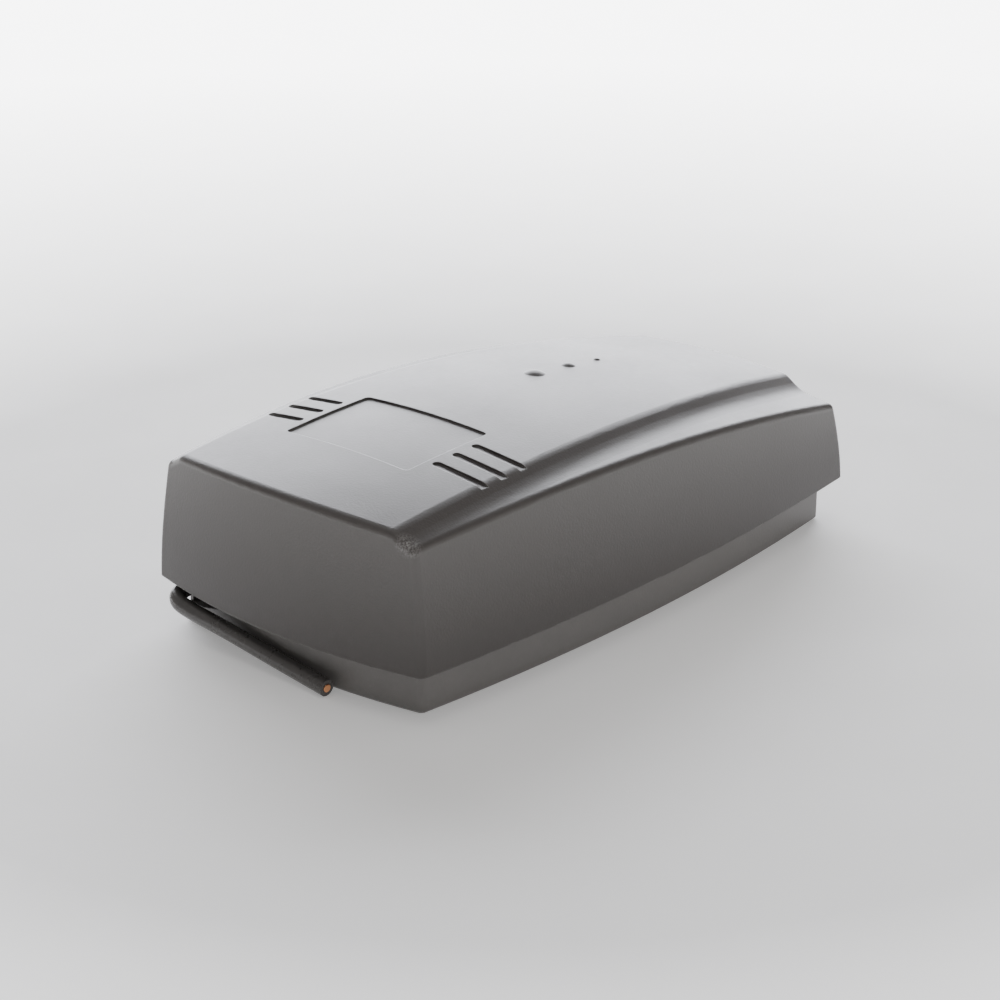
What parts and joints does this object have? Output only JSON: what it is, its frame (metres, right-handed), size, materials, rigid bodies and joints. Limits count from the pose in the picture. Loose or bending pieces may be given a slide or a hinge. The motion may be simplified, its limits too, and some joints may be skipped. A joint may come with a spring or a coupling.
{
  "type": "radio receiver",
  "caption": "Wall-mount radio receiver box: crowned push-on cover over a flat base with a circuit board, and a short stiff wire antenna bent along one end.",
  "frame": {"origin": "centre of the underside of the base, on the wall plane, in the middle of the case", "axes": "+X runs along the case from the antenna end to the cable end, +Y across it towards the side where the antenna leaves, +Z out from the wall through the cover"},
  "size_m": [0.1172, 0.0654, 0.0337],
  "materials": {
    "cover_plastic": "fine moulded grain, satin dark grey",
    "base_plastic": "fine moulded grain, satin dark grey",
    "wire_insulation": "smooth black PVC insulation",
    "copper": "bare solid copper",
    "board_laminate": "green solder mask on glass laminate",
    "screw_steel": "zinc plated steel",
    "clamp_metal": "tinned metal",
    "terminal_plastic": "green moulded plastic",
    "relay_case": "blue moulded case",
    "chip_plastic": "black moulded resin",
    "socket_plastic": "black moulded plastic",
    "module_laminate": "blue solder mask on glass laminate",
    "shield_tin": "tinned steel",
    "coil_plastic": "red moulded former",
    "crystal_can": "drawn nickel can",
    "capacitor_sleeve": "dark shrink sleeve",
    "regulator_body": "moulded body with a metal tab",
    "resistor_body": "beige lacquer",
    "diode_body": "black moulded body",
    "transistor_body": "black moulded body",
    "disc_ceramic": "ochre dip coating",
    "led_red": "red tinted resin",
    "led_green": "green tinted resin",
    "button_body": "black moulded body",
    "button_cap": "black moulded cap",
    "header_plastic": "black moulded strip with plated pins",
    "shunt_plastic": "blue moulded jumper",
    "grommet_rubber": "soft black rubber"
  },
  "bodies": {
    "housing": {"base": "base_plastic", "antenna_wire_held": "wire_insulation", "antenna_wire_free": "wire_insulation", "antenna_core_tip": "copper", "antenna_core_clamped": "copper", "circuit_board": "board_laminate", "board_screws": "screw_steel", "terminal_block_housing": "terminal_plastic", "terminal_block_clamps": "clamp_metal", "terminal_block_screws": "screw_steel", "antenna_terminal_housing": "terminal_plastic", "antenna_terminal_clamps": "clamp_metal", "antenna_terminal_screws": "screw_steel", "relay_1": "relay_case", "relay_2": "relay_case", "microcontroller": "chip_plastic", "microcontroller_socket": "socket_plastic", "memory_chip": "chip_plastic", "memory_chip_socket": "socket_plastic", "radio_module_board": "module_laminate", "radio_module_header": "header_plastic", "radio_module_can": "shield_tin", "radio_module_coil": "coil_plastic", "crystal": "crystal_can", "filter_capacitor": "capacitor_sleeve", "voltage_regulator": "regulator_body", "resistors": "resistor_body", "diodes": "diode_body", "transistors": "transistor_body", "ceramic_capacitors": "disc_ceramic", "led_1": "led_red", "led_2": "led_green", "button_1_body": "button_body", "button_2_body": "button_body", "jumper_header": "header_plastic", "cable_grommet": "grommet_rubber"},
    "cover": {"cover": "cover_plastic"},
    "button_1": {"button_1_cap": "button_cap"},
    "button_2": {"button_2_cap": "button_cap"},
    "jumper": {"jumper_shunt": "shunt_plastic"}
  },
  "joints": [
    {"name": "cover_lift", "type": "slide", "parent": "housing", "child": "cover", "axis": [0, 0, 1], "range_m": [0, 0.04]},
    {"name": "button_1_press", "type": "slide", "parent": "housing", "child": "button_1", "axis": [0, 0, -1], "range_m": [0, 0.00025], "stiffness_N_per_m": 800},
    {"name": "button_2_press", "type": "slide", "parent": "housing", "child": "button_2", "axis": [0, 0, -1], "range_m": [0, 0.00025], "stiffness_N_per_m": 800},
    {"name": "jumper_pull", "type": "slide", "parent": "housing", "child": "jumper", "axis": [0, 0, 1], "range_m": [0, 0.007]}
  ]
}
